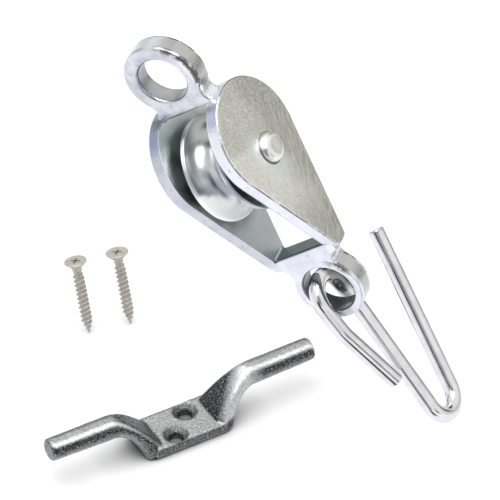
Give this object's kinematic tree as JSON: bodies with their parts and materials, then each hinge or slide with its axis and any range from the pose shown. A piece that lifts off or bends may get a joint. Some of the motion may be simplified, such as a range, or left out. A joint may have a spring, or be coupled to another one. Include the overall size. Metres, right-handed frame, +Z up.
{
  "type": "ceiling pulley hanging kit",
  "caption": "Zinc plated pulley block with a top eye, grooved wheel and bent wire hook, set out with a cast rope cleat and countersunk wood screws.",
  "frame": {"origin": "centre of the hole in the top eye, from which the block hangs", "axes": "+Z up; +Y along the hole of the top eye, away from the front; +X to the right. The block leans about +Y, and the cleat and screws stand on the floor 163.5 mm below the origin"},
  "size_m": [0.1419, 0.0905, 0.1753],
  "materials": {
    "zinc_casting": "bright zinc plate on a casting, cheeks belt ground",
    "pin_steel": "bright zinc plate",
    "sheave_zinc": "bright zinc plate, slightly blue",
    "hook_wire": "bright zinc plated drawn wire",
    "cleat_casting": "galvanised rough casting",
    "screw_steel": "dull warm zinc plate"
  },
  "bodies": {
    "block": {"pulley_frame": "zinc_casting", "axle_pin": "pin_steel", "cleat": "cleat_casting", "screw_left": "screw_steel", "screw_right": "screw_steel"},
    "wheel": {"sheave": "sheave_zinc"},
    "hook": {"wire_hook": "hook_wire"}
  },
  "joints": [
    {"name": "wheel_spin", "type": "hinge", "parent": "block", "child": "wheel", "pos_m": [0.02077, 0, -0.02629], "axis": [0.7847, 0, 0.6199], "continuous": true},
    {"name": "hook_swing", "type": "hinge", "parent": "block", "child": "hook", "pos_m": [0.05021, 0, -0.06356], "axis": [0, 1, 0], "range_deg": [-75, 75]}
  ]
}
